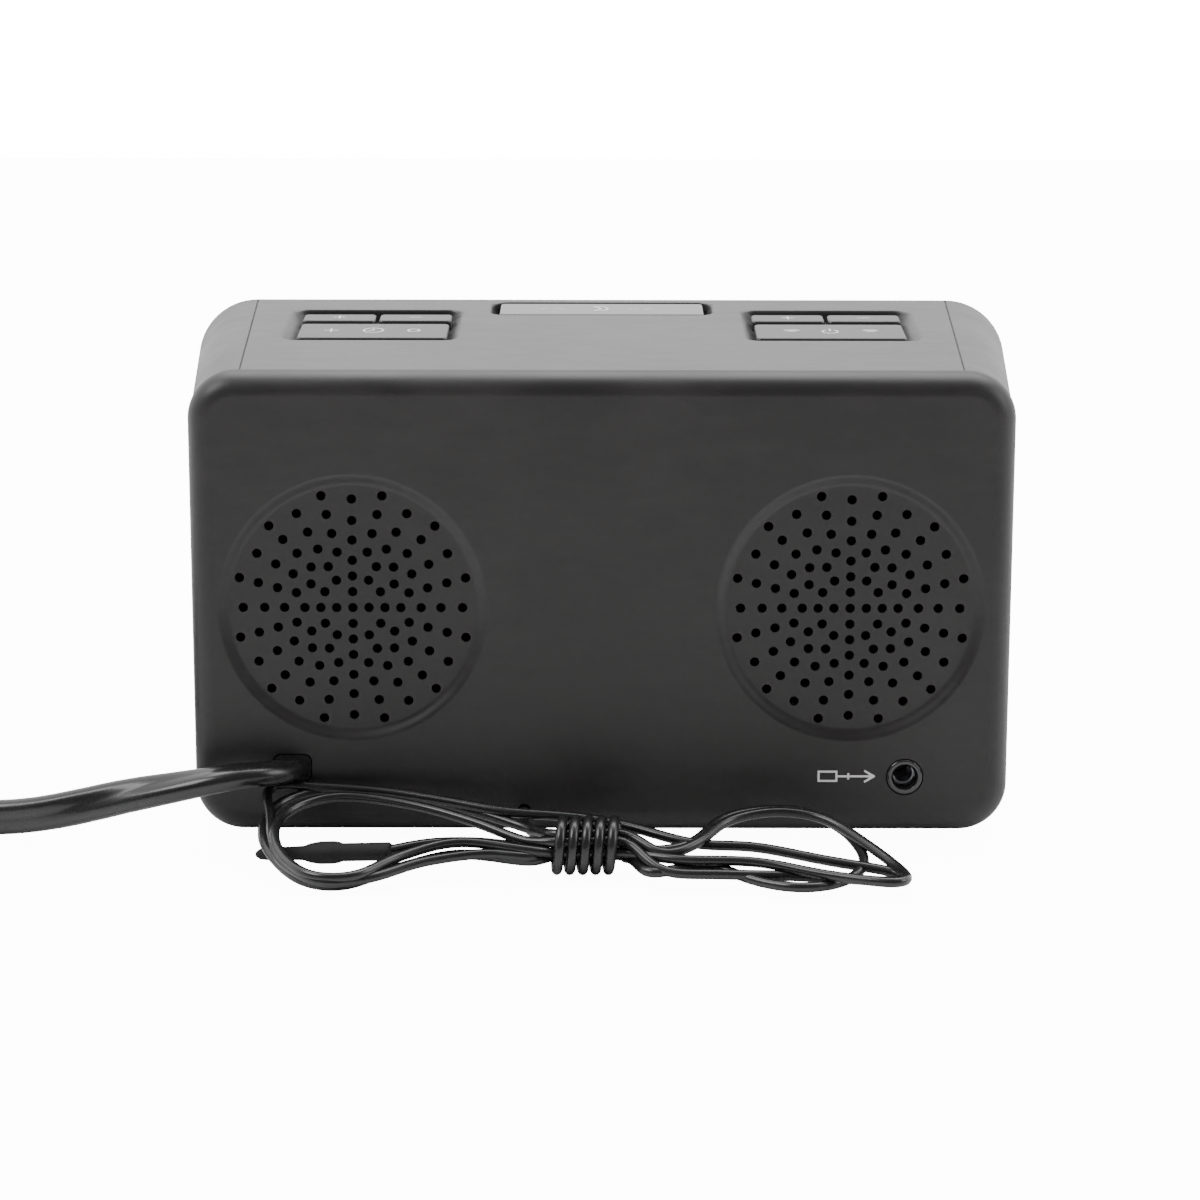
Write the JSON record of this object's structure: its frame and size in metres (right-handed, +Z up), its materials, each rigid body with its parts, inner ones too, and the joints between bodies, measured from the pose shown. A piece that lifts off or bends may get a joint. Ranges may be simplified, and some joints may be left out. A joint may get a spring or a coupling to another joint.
{
  "type": "clock radio",
  "caption": "Compact mains clock radio with rear speaker grilles, sloping key deck, auxiliary socket, mains lead and tied wire aerial.",
  "frame": {"origin": "on the table, under the middle of the cabinet", "axes": "+Z up, -Y towards the display, +Y towards the rear cover, X across the width"},
  "size_m": [0.2808, 0.1252, 0.0867],
  "materials": {
    "cabinet_plastic": "fine satin grain",
    "cover_plastic": "satin, fine grain",
    "bezel_gloss": "polished",
    "window_tint": "polished dark tint",
    "display_housing": "matt",
    "circuit_board": "lacquered",
    "key_plastic": "satin",
    "snooze_gloss": "polished",
    "plain_steel": "plain",
    "copper_winding": "lacquered wire",
    "ferrite": "matt ceramic",
    "rubber_black": "matt",
    "cord_pvc": "glossy",
    "plug_metal": "nickel plated",
    "cone_paper": "matt paper"
  },
  "bodies": {
    "radio": {"aerial_hank": "cord_pvc", "aerial_tip": "rubber_black", "aerial_wire": "cord_pvc", "aux_socket": "bezel_gloss", "cabinet": "cabinet_plastic", "cord_grip": "rubber_black", "display_module": "display_housing", "display_window": "window_tint", "ferrite_rod": "ferrite", "foot_front_left": "rubber_black", "foot_front_right": "rubber_black", "foot_rear_left": "rubber_black", "foot_rear_right": "rubber_black", "front_bezel": "bezel_gloss", "hour_key_switch": "plain_steel", "key_board": "circuit_board", "main_board": "circuit_board", "mains_lead": "cord_pvc", "mains_lead_coil": "cord_pvc", "mains_lead_tail": "cord_pvc", "minute_key_switch": "plain_steel", "plug_body": "cord_pvc", "plug_pin_left": "plug_metal", "plug_pin_right": "plug_metal", "power_key_switch": "plain_steel", "rear_cover": "cover_plastic", "rod_coil": "copper_winding", "screw_front_left": "plain_steel", "screw_front_right": "plain_steel", "screw_rear_left": "plain_steel", "screw_rear_right": "plain_steel", "snooze_bar_switch": "plain_steel", "speaker_basket_left": "plain_steel", "speaker_basket_right": "plain_steel", "speaker_magnet_left": "ferrite", "speaker_magnet_right": "ferrite", "time_key_switch": "plain_steel", "transformer_bobbin": "copper_winding", "transformer_core": "plain_steel", "volume_down_key_switch": "plain_steel", "volume_up_key_switch": "plain_steel"},
    "power_key": {"power_key": "key_plastic"},
    "volume_down_key": {"volume_down_key": "key_plastic"},
    "volume_up_key": {"volume_up_key": "key_plastic"},
    "time_key": {"time_key": "key_plastic"},
    "hour_key": {"hour_key": "key_plastic"},
    "minute_key": {"minute_key": "key_plastic"},
    "snooze_bar": {"snooze_bar": "snooze_gloss"},
    "cone_left": {"speaker_cone_left": "cone_paper"},
    "cone_right": {"speaker_cone_right": "cone_paper"}
  },
  "joints": [
    {"name": "power_key_press", "type": "slide", "parent": "radio", "child": "power_key", "axis": [0, -0.1389, -0.9903], "range_m": [0, 0.0006], "stiffness_N_per_m": 300},
    {"name": "volume_down_key_press", "type": "slide", "parent": "radio", "child": "volume_down_key", "axis": [0, -0.1389, -0.9903], "range_m": [0, 0.0006], "stiffness_N_per_m": 300},
    {"name": "volume_up_key_press", "type": "slide", "parent": "radio", "child": "volume_up_key", "axis": [0, -0.1389, -0.9903], "range_m": [0, 0.0006], "stiffness_N_per_m": 300},
    {"name": "time_key_press", "type": "slide", "parent": "radio", "child": "time_key", "axis": [0, -0.1389, -0.9903], "range_m": [0, 0.0006], "stiffness_N_per_m": 300},
    {"name": "hour_key_press", "type": "slide", "parent": "radio", "child": "hour_key", "axis": [0, -0.1389, -0.9903], "range_m": [0, 0.0006], "stiffness_N_per_m": 300},
    {"name": "minute_key_press", "type": "slide", "parent": "radio", "child": "minute_key", "axis": [0, -0.1389, -0.9903], "range_m": [0, 0.0006], "stiffness_N_per_m": 300},
    {"name": "snooze_bar_press", "type": "slide", "parent": "radio", "child": "snooze_bar", "axis": [0, -0.1389, -0.9903], "range_m": [0, 0.0006], "stiffness_N_per_m": 300},
    {"name": "cone_left_travel", "type": "slide", "parent": "radio", "child": "cone_left", "axis": [0, 1, 0], "range_m": [-0.0004, 0.0004], "stiffness_N_per_m": 1000},
    {"name": "cone_right_travel", "type": "slide", "parent": "radio", "child": "cone_right", "axis": [0, 1, 0], "range_m": [-0.0004, 0.0004], "stiffness_N_per_m": 1000}
  ]
}
